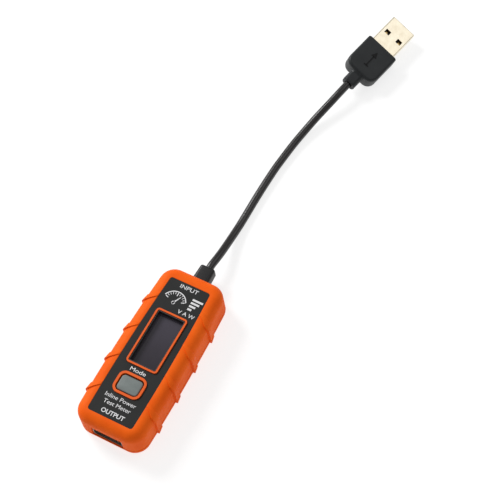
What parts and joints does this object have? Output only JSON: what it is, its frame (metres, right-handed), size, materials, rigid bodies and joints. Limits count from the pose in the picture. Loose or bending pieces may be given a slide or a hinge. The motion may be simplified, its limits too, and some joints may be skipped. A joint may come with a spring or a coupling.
{
  "type": "usb power meter",
  "caption": "In-line meter with a display window, a mode key, a type A output socket at one end and a short captive lead with a type A plug at the other.",
  "frame": {"origin": "centre of the flat rear face of the meter, on the surface it lies on", "axes": "+Z out of the display face, +Y along the meter towards the input lead, +X to the right of the display"},
  "size_m": [0.0401, 0.2209, 0.0154],
  "materials": {
    "orange_overmould": "satin moulded elastomer",
    "orange_case": "satin moulded plastic",
    "black_case": "fine texture",
    "label": "printed satin film",
    "lens": "smoked",
    "panel": "polished",
    "flex": "polyimide film",
    "button": "matte silicone",
    "board": "solder mask",
    "socket_metal": "nickel plated sheet",
    "insulator": "moulded",
    "gold": "gold flash",
    "ceramic": "ceramic",
    "chip": "epoxy",
    "capacitor": "moulded epoxy",
    "boot": "satin",
    "red_wire": "extruded",
    "white_wire": "extruded",
    "green_wire": "extruded",
    "black_wire": "extruded",
    "screw": "black zinc",
    "cable_jacket": "glossy extruded jacket",
    "plug_rubber": "fine matte texture",
    "plug_metal": "nickel plated sheet"
  },
  "bodies": {
    "housing": {"front_overmould": "orange_overmould", "rear_overmould": "orange_overmould", "front_case": "orange_case", "rear_case": "black_case", "front_label": "label", "display_lens": "lens", "window_bezel": "black_case", "display_panel": "panel", "display_frame": "black_case", "display_flex": "flex", "mode_switch": "black_case", "circuit_board": "board", "output_socket_shell": "socket_metal", "output_socket_insulator": "insulator", "output_contact_1": "gold", "output_contact_2": "gold", "output_contact_3": "gold", "output_contact_4": "gold", "shunt_resistor": "ceramic", "sense_amplifier": "chip", "microcontroller": "chip", "voltage_regulator": "chip", "crystal": "socket_metal", "input_capacitor": "capacitor", "output_capacitor": "capacitor", "inductor": "chip", "cable_boot": "boot", "wire_supply": "red_wire", "wire_data_minus": "white_wire", "wire_data_plus": "green_wire", "wire_ground": "black_wire", "case_screw_output_left": "screw", "case_screw_output_right": "screw", "case_screw_input_left": "screw", "case_screw_input_right": "screw", "cable": "cable_jacket", "plug_moulding": "plug_rubber", "plug_shell": "plug_metal", "plug_insulator": "insulator", "plug_contact_1": "gold", "plug_contact_2": "gold", "plug_contact_3": "gold", "plug_contact_4": "gold"},
    "mode_key": {"mode_button": "button"},
    "switch_plunger": {"mode_switch_plunger": "insulator"}
  },
  "joints": [
    {"name": "mode_button_press", "type": "slide", "parent": "housing", "child": "mode_key", "axis": [0, 0, -1], "range_m": [0, 0.0004], "stiffness_N_per_m": 2000},
    {"name": "mode_switch_press", "type": "slide", "parent": "housing", "child": "switch_plunger", "axis": [0, 0, -1], "range_m": [0, 0.0004]}
  ],
  "couplings": [
    {"joint": "mode_switch_press", "follows": "mode_button_press", "ratio": 1}
  ]
}
